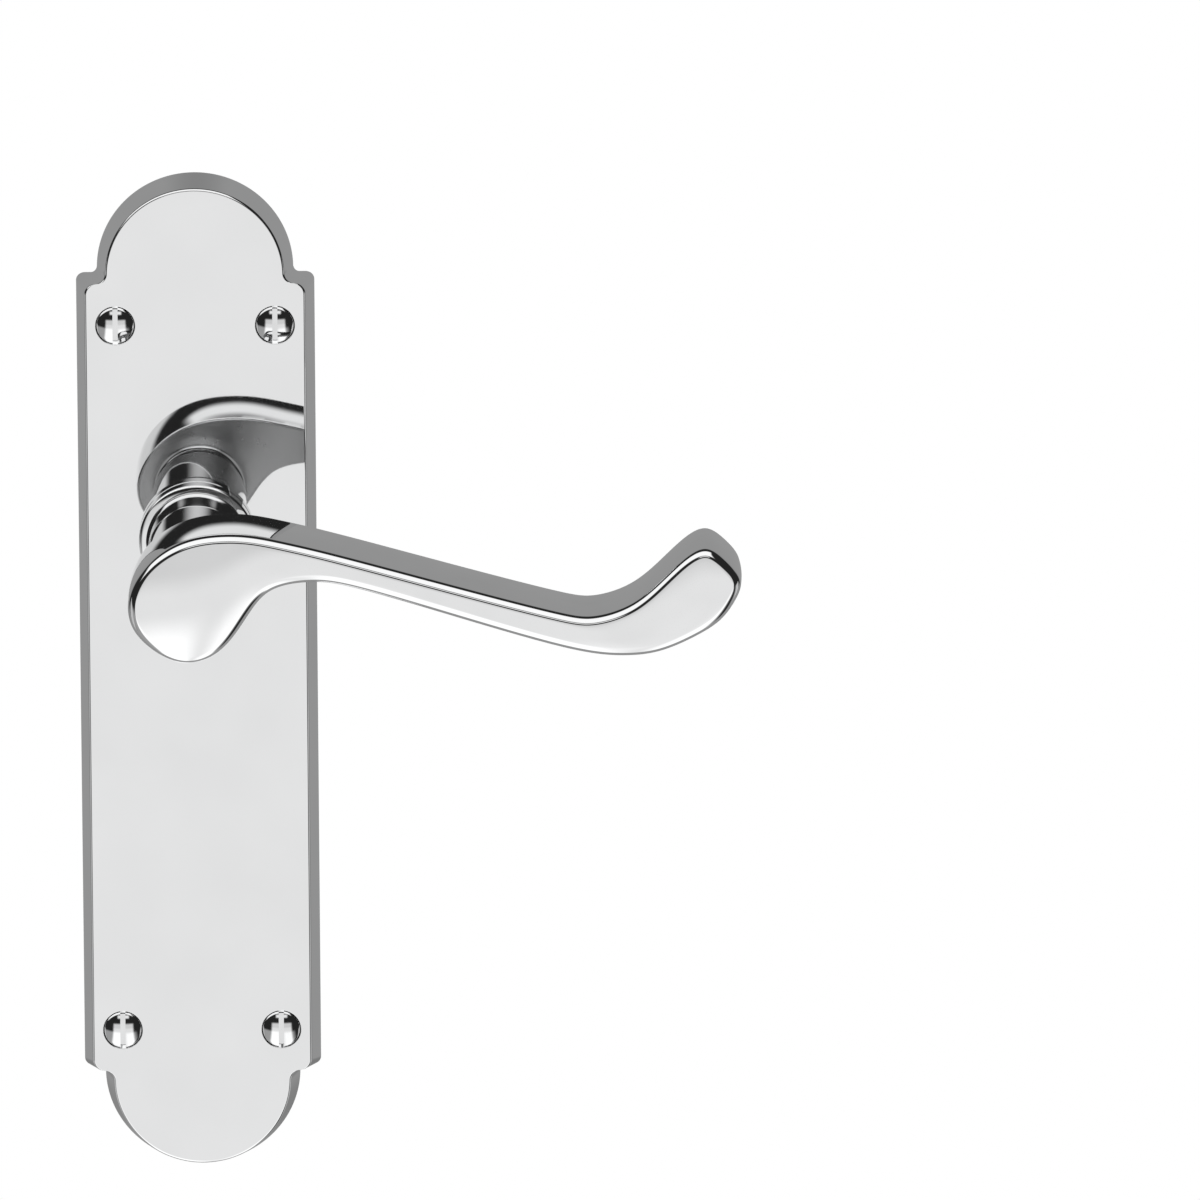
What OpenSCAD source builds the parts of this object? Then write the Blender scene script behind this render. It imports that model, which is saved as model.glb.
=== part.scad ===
// Scroll lever door handle on an arched backplate, with its spring return and fixings.
// Millimetres. Origin: spindle axis where it meets the door. +X along the lever, +Y into
// the door, +Z up. Outlines are drawn in the X-Z plane and stand out towards -Y.

/* [Backplate] */
// Width of the plate where it meets the door
plate_w = 41.5; // [36:0.5:50]
// Height of the plate
plate_h = 180; // [140:1:220]
// Thickness of the plate at its rim
plate_t = 6; // [5.5:0.1:8]
// How far the sides lean in from the back to the front
plate_bevel = 1.45; // [0.5:0.05:2]
// Radius of the arched ends, at the back
arch_r = 17.1; // [14:0.1:18]
// Radius of the hollow where an arch meets its shoulder
cove_r = 1.2; // [0.8:0.1:2]
// Radius of the shoulder's corner
corner_r = 1.4; // [0.8:0.1:2]
// How much softer the hollow and the corner are at the front
front_softening = 0.6; // [0:0.1:0.8]
// Rounding of the front edge
plate_edge_r = 0.5; // [0.2:0.1:0.8]
// Height of the spindle above the middle of the plate
spindle_rise = 25.7; // [15:0.1:30]
// Thickness of the plate's front wall
face_t = 1.6; // [1.4:0.1:2]
// Width of the rim left round the hollow back
rim_w = 2.4; // [2:0.1:3]
// Half height of the solid block round the spring pocket
block_half_h = 25; // [23:0.5:28]
// Thickness of the stiffening ribs
rib_t = 1.6; // [1:0.1:2.4]

/* [Fixing screws] */
// Distance from the plate's side to a screw
screw_side = 6.85; // [6:0.05:9]
// Distance from the plate's end to a screw
screw_end = 26; // [22:0.5:32]
// Diameter over the screw's thread
screw_d = 3.5; // [3:0.1:4]
// Diameter of the plain shank under the head
screw_shank_d = 2.9; // [2.4:0.1:3]
// Length of the tapered point
screw_point = 4; // [3:0.5:6]
// Diameter of the screw's head
screw_head_d = 6.5; // [6:0.1:8]
// Height of the head's raised dome
screw_dome = 0.7; // [0.4:0.1:1.2]
// Length from the countersink's edge to the point
screw_len = 25; // [16:1:32]
// Width of the driver slot
screw_slot_w = 0.9; // [0.6:0.1:1.2]
// Depth of the driver slot below the plate's face
screw_slot_depth = 0.5; // [0.3:0.1:0.9]

/* [Neck] */
// Diameter of the turned collar on the plate
collar_d = 20.2; // [19.6:0.1:22]
// Height of the collar above the plate
collar_h = 3; // [1.6:0.1:4]
// Slope of the collar's front, in degrees
collar_slope = 12; // [5:1:30]
// Diameter of the neck's foot, against the collar
neck_foot_d = 17.8; // [17.6:0.1:19]
// Length over which the foot narrows to the neck
neck_shoulder = 6; // [1.5:0.1:8]
// Diameter of the lever's neck
neck_d = 16.6; // [16:0.1:17.6]
// Diameter of the neck where it runs into the lever
neck_waist_d = 14.6; // [14:0.1:16.4]
// Length over which the neck narrows
neck_taper = 6; // [3:0.5:9]
// Gap from the plate's face to the back of the lever
lever_gap = 31.1; // [26:0.1:42]

/* [Lever] */
// Distance from the spindle's axis to the lever's tip
lever_reach = 94.5; // [78:0.1:118]
// Depth of the lever from back to front
lever_depth = 15.4; // [12:0.1:19]
// Radius of the front face's crown, across the lever
face_crown_r = 90; // [60:5:200]
// Rounding of the lever's front edge
lever_edge_r = 1.6; // [0.8:0.1:1.8]
// How far the sides draw in towards the back
lever_draft = 0.2; // [0:0.02:0.8]
// How far the sides swell out in the middle of their depth
lever_belly = 0.23; // [0:0.01:0.4]
// Rounding of the lever's back edge
lever_back_r = 0.5; // [0.2:0.1:0.8]

/* [Spindle] */
// Width across the spindle's flats
spindle_w = 8; // [7:0.1:8]
// Length of the spindle
spindle_len = 105; // [90:1:130]
// Depth of the spindle's socket in the lever, from the plate's back
socket_depth = 34; // [28:0.5:36]
// Diameter of the grub screw
grub_d = 5; // [4:0.5:6]
// Length of the grub screw
grub_len = 4; // [3:0.1:4]
// Distance of the grub screw in front of the plate's back
grub_out = 20; // [15:0.5:26]
// Width across the grub screw's hexagon socket
grub_key_w = 2.5; // [2:0.5:2.5]

/* [Bearing] */
// Radius of the spigot that turns in the bush
spigot_r = 7.25; // [7:0.05:7.4]
// Wall of the nylon bush
bush_wall = 1.1; // [0.8:0.1:1.2]
// Wall of the collar's tail where it passes through the plate
tail_wall = 0.8; // [0.6:0.1:1]
// Thickness of the washer between the collar and the neck
neck_washer_t = 0.4; // [0.3:0.1:0.6]
// Thickness of the thrust washer in the spring pocket
thrust_washer_t = 0.4; // [0.3:0.1:0.5]
// Thickness of the drive plate
drive_plate_t = 1.2; // [1:0.1:1.3]
// Thickness of the shim under the circlip
shim_t = 0.4; // [0.2:0.1:0.4]
// Thickness of the circlip
circlip_t = 1; // [0.8:0.1:1]
// Width across the spigot's drive flats
drive_flats_w = 12.8; // [12.2:0.1:13.4]

/* [Spring return] */
// Turning angle of the lever
lever_travel = 40; // [30:1:45]
// Radius of the spring pocket in the plate's back
pocket_r = 16; // [15.7:0.1:16.3]
// Radius of the drive plate
drive_plate_r = 13.2; // [12.8:0.1:13.4]
// Radius from the axis to the stop pin
stop_r = 11; // [10.6:0.1:11.2]
// Diameter of the stop pin
stop_pin_d = 2; // [1.6:0.1:2.2]
// Angle of the stop pin, anticlockwise from the lever
stop_angle = 70; // [60:1:80]
// Diameter of the spring's wire
wire_d = 1.2; // [0.8:0.1:1.2]
// Radius of the spring's coil to the middle of the wire
coil_r = 14.7; // [14.5:0.1:14.9]
// Turns in the spring
coil_turns = 1.5; // [1.5:0.5:1.5]
// Angle of the spring's fixed end
anchor_angle = 0; // [-20:1:20]
// Thickness of the cover over the spring
cover_t = 1; // [0.8:0.1:1]
// Radius of the cover
cover_r = 17.4; // [17:0.1:17.8]
// Distance from the axis to each cover screw
cover_screw_z = 20.5; // [19.5:0.1:21.5]
// Diameter of a cover screw's thread
cover_screw_d = 3; // [2.5:0.1:3]
// Diameter of a cover screw's head
cover_head_d = 5; // [4.6:0.1:5.4]
// Length of a cover screw
cover_screw_len = 4; // [3:0.1:4]

/* [Clearances] */
// Radial clearance of a turning fit
running_fit = 0.05; // [0.02:0.01:0.1]
// Gap between stacked pieces that turn against each other
stack_gap = 0.05; // [0.02:0.01:0.1]
// Clearance round a piece that drops into place
loose_fit = 0.15; // [0.1:0.05:0.3]
// Clearance round pieces that travel past each other
travel_gap = 0.3; // [0.2:0.05:0.4]

/* [Hidden] */
$fn = 96;

chrome = "#D9DBDD";
zinc = "#A9ACB0";
steel = "#8D9094";
nylon = "#EDE8DA";

arc_steps = 14;         // steps in a quarter of an arch
bend_steps = 5;         // steps round a hollow or a corner
curve_steps = 4;        // steps between two points of the lever's outline
edge_steps = 3;         // steps round an edge
wall_steps = 4;         // steps up the lever's swelling sides
over = 0.5;             // how far a cutting shape runs past what it cuts
rib_count = 2;          // ribs across the long hollow
push_fit = 0.02;        // clearance of a piece that is pressed or screwed in
boss_wall = 1.8;        // wall round a screw's head, behind the face
pin_depth = face_t * 0.6;   // how deep the stop pin sits in the front wall
point_r = 0.2;          // radius left at a screw's point

// Places along the axis, counted outwards from the door as -Y
face_y = -plate_t;
collar_y = face_y - collar_h;
neck_end_y = collar_y - neck_washer_t - stack_gap;
lever_back_y = face_y - lever_gap;
lever_front_y = lever_back_y - lever_depth;
pocket_y = face_y + face_t;
drive_plate_y = pocket_y + thrust_washer_t + stack_gap;
shim_y = drive_plate_y + drive_plate_t + stack_gap;
circlip_y = shim_y + shim_t + stack_gap;

// Radii round the axis
bore_r = spigot_r + running_fit;
bush_r = bore_r + bush_wall;
tail_r = bush_r + tail_wall;
groove_r = spigot_r - 0.75;
circlip_r = spigot_r + 1.1;

plate_mid_z = -spindle_rise;
arch_z = plate_h / 2 - arch_r;
cove_rise = 0.4;        // how far the hollow's centre stands above the arch's centre
screw_x = plate_w / 2 - screw_side;
screw_z = plate_h / 2 - screw_end;
screw_places = [for (sz = [1, -1], sx = [-1, 1]) [sx * screw_x, plate_mid_z + sz * screw_z]];
countersink_h = (screw_head_d - screw_d) / 2;

function mix(a, b, t) = a + (b - a) * t;
function arc(c, r, from, to, n) =
    [for (i = [0:n]) c + r * [cos(mix(from, to, i / n)), sin(mix(from, to, i / n))]];
function flip_x(pts) = [for (i = [len(pts) - 1:-1:0]) [-pts[i][0], pts[i][1]]];
function flip_z(pts) = [for (i = [len(pts) - 1:-1:0]) [pts[i][0], -pts[i][1]]];

// Stands a flat outline up in the X-Z plane, from y outwards
module outwards(y, h)
    translate([0, y, 0]) rotate([90, 0, 0]) linear_extrude(h) children();

// A round bar along -Y, from y outwards
module bar(r1, h, y, r2 = undef)
    translate([0, y, 0]) rotate([90, 0, 0]) cylinder(r1 = r1, r2 = is_undef(r2) ? r1 : r2, h = h);

// A ring along -Y, from y outwards
module ring(r_out, r_in, h, y)
    outwards(y, h) difference() {
        circle(r_out);
        circle(r_in);
    }

// A closed skin over a stack of outlines that all have the same number of points
module skin(rings) {
    n = len(rings[0]);
    last = (len(rings) - 1) * n;
    sides = [for (i = [0:len(rings) - 2], j = [0:n - 1])
             let (a = i * n + j, b = i * n + (j + 1) % n)
             each [[a, b, a + n], [b, b + n, a + n]]];
    start = [for (j = [n - 1:-1:0]) j];
    end = [for (j = [0:n - 1]) last + j];
    polyhedron([for (ring = rings) each ring], concat(sides, [start], [end]), convexity = 6);
}

// ---- Backplate ----

// Right upper quarter of the plate's outline: arch, hollow, shoulder corner
function plate_quarter(half_w, r, cove, corner) =
    let (cove_c = [sqrt(pow(r + cove, 2) - pow(cove_rise, 2)), arch_z + cove_rise],
         gap = half_w - corner - cove_c[0],
         drop = gap >= 0 ? cove + corner : sqrt(pow(cove + corner, 2) - pow(gap, 2)),
         corner_c = [half_w - corner, cove_c[1] - drop],
         lean = gap >= 0 ? 0 : asin(gap / (cove + corner)),
         start = atan2(cove_rise, cove_c[0]))
    concat(arc([0, arch_z], r, 90, start, arc_steps),
           arc(cove_c, cove, 180 + start, 270 + lean, bend_steps),
           arc(corner_c, corner, 90 + lean, 0, bend_steps));

// Drops the points that the two joined halves share
function without_ends(pts) = [for (i = [1:len(pts) - 2]) pts[i]];

function plate_outline(lean, inset) =
    let (shrink = plate_bevel * lean + inset,
         soft = front_softening * lean,
         quarter = plate_quarter(plate_w / 2 - shrink, arch_r - shrink, cove_r + soft,
                                 corner_r + soft),
         right = concat(quarter, flip_z(quarter)))
    concat(right, without_ends(flip_x(right)));

function plate_ring(y, lean, inset) =
    [for (p = plate_outline(lean, inset)) [p[0], y, p[1] + plate_mid_z]];

module plate_shape() {
    edge = [for (i = [0:edge_steps]) let (a = 90 * i / edge_steps)
            plate_ring(face_y + plate_edge_r * (1 - sin(a)), 1, plate_edge_r * (1 - cos(a)))];
    // The skin runs past both faces and is cut flat there
    difference() {
        skin(concat([plate_ring(over, 0, 0), plate_ring(0, 0, 0)], edge,
                    [plate_ring(face_y - over, 1, plate_edge_r)]));
        for (y = [over, face_y - over])
            translate([0, y, plate_mid_z]) cube([2 * plate_w, 2 * over, 2 * plate_h], center = true);
    }
}

// The hollows in the plate's back, above and below the spring block
module plate_hollows() {
    half_w = plate_w / 2 - plate_bevel - rim_w;
    end_r = arch_r - plate_bevel - rim_w;
    shoulder_z = arch_z - rim_w - cove_r;
    boss_r = screw_head_d / 2 + boss_wall;
    long_h = shoulder_z + spindle_rise - block_half_h;
    difference() {
        translate([0, plate_mid_z]) union() {
            square([2 * half_w, 2 * shoulder_z], center = true);
            for (s = [1, -1]) translate([0, s * arch_z]) circle(end_r);
        }
        square([plate_w, 2 * block_half_h], center = true);
        for (p = screw_places) translate(p) circle(boss_r);
        for (i = [1:rib_count])
            translate([0, -block_half_h - i * long_h / (rib_count + 1)])
                square([plate_w, rib_t], center = true);
    }
}

module cover_outline(grow) {
    circle(cover_r + grow);
    for (s = [1, -1]) translate([0, s * cover_screw_z]) circle(cover_head_d / 2 + 1.2 + grow);
    square([cover_head_d + 2.4 + 2 * grow, 2 * cover_screw_z], center = true);
}

// Notch that holds the fixed end of the spring
module anchor_notch() {
    depth = -coil_back_y + wire_d / 2 + loose_fit;
    rotate([0, -anchor_angle, 0])
        translate([coil_r, -depth, -wire_d / 2 - loose_fit])
            cube([anchor_leg + wire_d, depth + over, wire_d + 2 * loose_fit]);
}

module backplate() {
    color(chrome) difference() {
        plate_shape();
        outwards(over, over - pocket_y) plate_hollows();
        bar(pocket_r, over - pocket_y, over);
        outwards(over, over + cover_t + loose_fit) cover_outline(loose_fit);
        bar(tail_r, face_t + 2 * over, pocket_y + over);
        anchor_notch();
        rotate([0, -stop_angle, 0]) translate([stop_r, 0, 0])
            bar(stop_pin_d / 2, pin_depth + over, pocket_y + over);
        for (s = [1, -1]) translate([0, 0, s * cover_screw_z])
            bar(cover_screw_d / 2 + push_fit, cover_screw_len + over, over);
        for (p = screw_places) translate([p[0], 0, p[1]]) {
            bar(screw_d / 2 + loose_fit, plate_t + 2 * over, over);
            bar(screw_d / 2 + loose_fit, countersink_h + loose_fit, face_y + countersink_h,
                screw_head_d / 2 + loose_fit);
        }
    }
}

// ---- Bearing ----

module neck_collar() {
    edge = 0.4;
    tail = face_t;
    slope_w = collar_d / 2 - edge - neck_foot_d / 2;
    shoulder_h = tail + collar_h - slope_w * tan(collar_slope);
    color(chrome) translate([0, face_y + tail, 0]) rotate([90, 0, 0]) rotate_extrude() difference() {
        union() {
            translate([bush_r, 0]) square([tail_wall, tail + over]);
            translate([bush_r, tail]) square([collar_d / 2 - bush_r, shoulder_h - tail - edge]);
            translate([collar_d / 2 - edge, shoulder_h - edge]) circle(edge);
            polygon([[bush_r, tail], [collar_d / 2 - edge, tail], [collar_d / 2 - edge, shoulder_h],
                     [neck_foot_d / 2, tail + collar_h], [bush_r, tail + collar_h]]);
        }
        translate([0, -over]) square([bush_r, tail + collar_h + 2 * over]);
    }
}

module bearing_bush()
    color(nylon) ring(bush_r, bore_r, pocket_y - collar_y, pocket_y);

module neck_washer()
    color(nylon) ring(neck_foot_d / 2 - 0.2, bore_r, neck_washer_t, collar_y);

module thrust_washer()
    color(nylon) ring(tail_r, bore_r, thrust_washer_t, pocket_y + thrust_washer_t);

// ---- Lever ----

// The lever's outline as ribs: [upper x, upper z, lower x, lower z]. The head's ribs are
// placed from the spindle's axis and the scroll's ribs back from the tip.
head_start = [-11.2, -1];
head_ribs = [[-10.8, 2.9, -9.6, -5], [-7.5, 8.2, -3.5, -9.5], [-1.3, 12.1, 1.8, -9.4],
             [5.4, 13.2, 6.1, -6.2], [10.5, 12.9, 9.9, -0.7], [15.5, 11.9, 13.6, 3.1],
             [20.5, 10.7, 19.8, 4.5], [31.9, 7.6, 28.1, 3.4]];
scroll_ribs = [[-31, -1.1, -31, -7.3], [-25.1, -1.7, -20.3, -8.9], [-18.5, 0.7, -14.2, -8.2],
               [-11.4, 7, -7.8, -5.5], [-6.2, 10.2, -3.5, -2.6], [-2.6, 8.2, -1, 0.8]];
scroll_end = [0, 4.4];

function upper(rib) = [rib[0], rib[1]];
function lower(rib) = [rib[2], rib[3]];
function from_tip(rib) = [lever_reach + rib[0], rib[1], lever_reach + rib[2], rib[3]];

lever_ribs = concat(head_ribs, [for (rib = scroll_ribs) from_tip(rib)]);
rib_last = len(lever_ribs) - 1;
lever_tip = [lever_reach + scroll_end[0], scroll_end[1]];
lever_points = concat([head_start], [for (rib = lever_ribs) upper(rib)], [lever_tip],
                      [for (i = [rib_last:-1:0]) lower(lever_ribs[i])]);

// Smooth closed curve through points, with knots spaced by the root of the distance
function knot(a, b) = sqrt(norm(b - a));
function blend(a, b, ta, tb, t) = (a * (tb - t) + b * (t - ta)) / (tb - ta);
function curve_at(p0, p1, p2, p3, u) =
    let (t1 = knot(p0, p1), t2 = t1 + knot(p1, p2), t3 = t2 + knot(p2, p3),
         t = mix(t1, t2, u),
         a1 = blend(p0, p1, 0, t1, t), a2 = blend(p1, p2, t1, t2, t), a3 = blend(p2, p3, t2, t3, t),
         b1 = blend(a1, a2, 0, t2, t), b2 = blend(a2, a3, t1, t3, t))
    blend(b1, b2, t1, t2, t);
function closed_curve(pts, steps) =
    let (n = len(pts))
    [for (i = [0:n - 1], s = [0:steps - 1])
     curve_at(pts[(i + n - 1) % n], pts[i], pts[(i + 1) % n], pts[(i + 2) % n], s / steps)];

// Moves each point of a clockwise outline inwards
function inset(pts, d) =
    let (n = len(pts))
    [for (i = [0:n - 1])
     let (along = pts[(i + 1) % n] - pts[(i + n - 1) % n], side = [along[1], -along[0]])
     pts[i] + d * side / norm(side)];

lever_curve = closed_curve(lever_points, curve_steps);

function lever_ring(d, y) = [for (p = inset(lever_curve, d)) [p[0], y, p[1]]];

module scroll() {
    wall_back_y = lever_back_y - lever_back_r;
    wall_front_y = lever_front_y + lever_edge_r;
    back = [lever_ring(lever_draft + lever_back_r, lever_back_y + over),
            for (i = [0:edge_steps - 1]) let (a = 90 * i / edge_steps)
            lever_ring(lever_draft + lever_back_r * (1 - sin(a)),
                       lever_back_y - lever_back_r * (1 - cos(a)))];
    wall = [for (i = [wall_steps:-1:1]) let (t = i / wall_steps)
            lever_ring(lever_draft * t - 4 * lever_belly * t * (1 - t),
                       mix(wall_front_y, wall_back_y, t))];
    front = [for (i = [0:edge_steps]) let (a = 90 * i / edge_steps)
             lever_ring(lever_edge_r * (1 - cos(a)), lever_front_y + lever_edge_r * (1 - sin(a)))];
    rings = concat(back, wall, front);
    n = len(lever_curve);
    half = n / 2;
    base = (len(rings) - 1) * n;
    rim = rings[len(rings) - 1];
    // The front face rises to a line midway between the upper and the lower edge
    crest = [for (j = [1:half - 1])
             let (u = rim[j], l = rim[n - j], rise = pow(norm(u - l), 2) / (8 * face_crown_r))
             (u + l) / 2 - [0, rise, 0]];
    sides = [for (i = [0:len(rings) - 2], j = [0:n - 1])
             let (a = i * n + j, b = i * n + (j + 1) % n)
             each [[a, b, a + n], [b, b + n, a + n]]];
    top = base + n;
    upper_strip = [for (j = [1:half - 2])
                   each [[base + j, base + j + 1, top + j - 1],
                         [base + j + 1, top + j, top + j - 1]]];
    lower_strip = [for (j = [1:half - 2])
                   each [[base + n - j, top + j - 1, base + n - j - 1],
                         [base + n - j - 1, top + j - 1, top + j]]];
    ends = [[base, base + 1, top], [base, top, base + n - 1],
            [base + half - 1, base + half, top + half - 2],
            [base + half, base + half + 1, top + half - 2]];
    // The skin runs past the back and is cut flat there
    difference() {
        polyhedron(concat([for (ring = rings) each ring], crest),
                   concat([[for (j = [n - 1:-1:0]) j]], sides, upper_strip, lower_strip, ends),
                   convexity = 8);
        translate([-lever_reach, lever_back_y, -lever_reach])
            cube([3 * lever_reach, 2 * over, 2 * lever_reach]);
    }
}

// Neck and spigot, turned in one: the spigot starts at the plate's back
module neck() {
    edge = 0.2;
    seam_angle = 17;        // turns the seam off the corners of the lever's outline
    foot_r = neck_foot_d / 2;
    neck_r = neck_d / 2;
    waist_r = neck_waist_d / 2;
    rotate([0, seam_angle, 0]) rotate([90, 0, 0]) rotate_extrude() polygon([
        [0, 0], [spigot_r, 0], [spigot_r, -neck_end_y], [foot_r - edge, -neck_end_y],
        [foot_r, edge - neck_end_y], [neck_r, edge + neck_shoulder - neck_end_y],
        [neck_r, -lever_back_y - neck_taper], [waist_r, -lever_back_y],
        [waist_r, lever_back_r + over - lever_back_y], [0, lever_back_r + over - lever_back_y]]);
}

// Cuts the two flats that drive the drive plate
module drive_flats() {
    depth = spigot_r - drive_flats_w / 2 + over;
    for (s = [1, -1]) translate([s * (drive_flats_w + depth) / 2, (over + drive_plate_y - stack_gap) / 2, 0])
        cube([depth, over - drive_plate_y + stack_gap, 3 * spigot_r], center = true);
}

module lever_handle() {
    socket_w = spindle_w + 0.1;
    color(chrome) difference() {
        union() {
            scroll();
            neck();
        }
        drive_flats();
        translate([-socket_w / 2, -socket_depth, -socket_w / 2])
            cube([socket_w, socket_depth + over, socket_w]);
        ring(spigot_r + over, groove_r, circlip_t + 2 * stack_gap, circlip_y + circlip_t + stack_gap);
        translate([0, -grub_out, -neck_d / 2 - over]) cylinder(d = grub_d + 0.04, h = neck_d / 2);
    }
}

module spindle() {
    start_y = -socket_depth + 0.5;
    color(steel) translate([-spindle_w / 2, start_y, -spindle_w / 2])
        cube([spindle_w, spindle_len, spindle_w]);
}

module grub_screw() {
    cup = 0.8;
    top_z = -spindle_w / 2 - 0.05;
    color(steel) translate([0, -grub_out, top_z]) mirror([0, 0, 1]) difference() {
        union() {
            cylinder(r1 = grub_d / 2 - cup, r2 = grub_d / 2, h = cup);
            translate([0, 0, cup]) cylinder(d = grub_d, h = grub_len - cup);
        }
        translate([0, 0, grub_len - 2.2])
            cylinder(d = grub_key_w / cos(30), h = 2.2 + over, $fn = 6);
    }
}

// ---- Spring return ----

coil_front_y = pocket_y + wire_d / 2 + stack_gap;
coil_back_y = -cover_t - loose_fit - wire_d / 2 - stack_gap;
anchor_leg = 2.4;
drive_leg = 2.6;
drive_leg_angle = anchor_angle + 360 * coil_turns;

module drive_bore(grow)
    intersection() {
        circle(spigot_r + grow);
        square([drive_flats_w + 2 * grow, 4 * spigot_r], center = true);
    }

// Curved slot that lets a pin of the given half width travel from angle a to angle b
module arc_slot(r, half_w, a, b) {
    reach = 2 * r;
    end = asin(half_w / r);
    intersection() {
        difference() {
            circle(r + half_w);
            circle(r - half_w);
        }
        polygon([[0, 0], for (p = arc([0, 0], reach, a - end, b + end, 2)) p]);
    }
}

module drive_plate() {
    notch_w = wire_d + 2 * loose_fit;
    color(zinc) outwards(drive_plate_y + drive_plate_t, drive_plate_t) difference() {
        circle(drive_plate_r);
        drive_bore(running_fit);
        arc_slot(stop_r, stop_pin_d / 2 + travel_gap, stop_angle, stop_angle + lever_travel);
        rotate(drive_leg_angle) translate([coil_r - drive_leg - loose_fit, -notch_w / 2])
            square([drive_leg + wire_d, notch_w]);
    }
}

module stop_pin()
    color(steel) rotate([0, -stop_angle, 0]) translate([stop_r, 0, 0])
        bar(stop_pin_d / 2, pin_depth - push_fit + shim_y - pocket_y, shim_y);

module shim_washer()
    color(steel) outwards(shim_y + shim_t, shim_t) difference() {
        circle(circlip_r + 0.8);
        drive_bore(running_fit);
    }

module circlip() {
    lug_r = 1.3;
    lug_angle = 14;
    color(steel) outwards(circlip_y + circlip_t, circlip_t) difference() {
        union() {
            circle(circlip_r);
            for (s = [1, -1]) rotate(-90 + s * lug_angle) translate([circlip_r + 0.3, 0]) circle(lug_r);
        }
        circle(groove_r + push_fit);
        rotate(-90) polygon([[0, 0], 2 * circlip_r * [cos(6), sin(6)], 2 * circlip_r * [cos(6), -sin(6)]]);
        for (s = [1, -1]) rotate(-90 + s * lug_angle) translate([circlip_r + 0.3, 0]) circle(0.55);
    }
}

// Route of the wire: inner leg, coil, outer leg
function polar(r, a, y) = [r * cos(a), y, r * sin(a)];
spring_steps = round(24 * coil_turns);
spring_route = concat(
    [polar(coil_r - drive_leg, drive_leg_angle, coil_front_y)],
    [for (i = [0:spring_steps])
     polar(coil_r, mix(drive_leg_angle, anchor_angle, i / spring_steps),
           mix(coil_front_y, coil_back_y, i / spring_steps))],
    [polar(coil_r + anchor_leg, anchor_angle, coil_back_y)]);

// Round tube along a route that stays near the X-Z plane
module tube(route, r, sides) {
    last = len(route) - 1;
    rings = [for (i = [0:last])
             let (ahead = route[min(i + 1, last)] - route[i], behind = route[i] - route[max(i - 1, 0)],
                  along = ahead * (norm(ahead) > 0 ? 1 / norm(ahead) : 0)
                        + behind * (norm(behind) > 0 ? 1 / norm(behind) : 0),
                  side = cross(along, [0, 1, 0]),
                  s = side / norm(side),
                  up = cross(s, along) / norm(cross(s, along)))
             [for (k = [0:sides - 1]) let (a = 360 * k / sides) route[i] + r * (cos(a) * s + sin(a) * up)]];
    skin(rings);
}

module return_spring()
    color(steel) tube(spring_route, wire_d / 2, 10);

module spring_cover() {
    color(zinc) difference() {
        outwards(0, cover_t) cover_outline(0);
        bar(spigot_r + 0.45, cover_t + 2 * over, over);
        for (s = [1, -1]) translate([0, 0, s * cover_screw_z]) {
            bar(cover_screw_d / 2 + loose_fit, cover_t + 2 * over, over);
            bar(cover_head_d / 2 + running_fit, cover_t, 0, cover_screw_d / 2 + running_fit);
        }
    }
}

module cover_screw(side) {
    slot_w = 0.7;
    head_h = (cover_head_d - cover_screw_d) / 2 * 0.9;
    color(steel) translate([0, 0, side * cover_screw_z]) difference() {
        union() {
            bar(cover_head_d / 2, head_h, 0, cover_screw_d / 2);
            bar(cover_screw_d / 2, cover_screw_len - head_h, -head_h);
        }
        translate([-cover_head_d, -0.5, -slot_w / 2]) cube([2 * cover_head_d, 1, slot_w]);
    }
}

// ---- Fixing screws ----

module fixing_screw(place) {
    shank_end = plate_t + travel_gap;
    head_r = screw_head_d / 2;
    head_h = (screw_head_d - screw_shank_d) / 2;
    dome_r = (pow(head_r, 2) + pow(screw_dome, 2)) / (2 * screw_dome);
    color(chrome) translate([place[0], face_y, place[1]]) difference() {
        union() {
            bar(screw_shank_d / 2, head_h, head_h, head_r);
            bar(screw_shank_d / 2, shank_end - head_h, shank_end);
            bar(screw_d / 2, screw_len - screw_point - shank_end, screw_len - screw_point);
            bar(point_r, screw_point, screw_len, screw_d / 2);
            intersection() {
                translate([0, dome_r - screw_dome, 0]) sphere(dome_r);
                bar(head_r, 2 * screw_dome, 0);
            }
        }
        translate([-screw_slot_w / 2, -screw_dome - over, -head_r - over])
            cube([screw_slot_w, screw_dome + over + screw_slot_depth, screw_head_d + 2 * over]);
    }
}

backplate();
neck_collar();
bearing_bush();
neck_washer();
thrust_washer();
stop_pin();
spring_cover();
cover_screw(1);  // cover_screw_1
cover_screw(-1);  // cover_screw_2
for (i = [1:4]) fixing_screw(screw_places[i - 1]);
lever_handle();
spindle();
grub_screw();
drive_plate();
shim_washer();
circlip();
return_spring();
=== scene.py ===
"""Scroll lever door handle: its looks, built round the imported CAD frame.

Shapes are worked out in millimetres, in the frame's own axes (+X along the lever, +Y into the
door, +Z up), and become metres when a piece is finished.
"""

import math

import bmesh
import bpy
import numpy as np
from mathutils import Matrix, Vector


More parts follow.
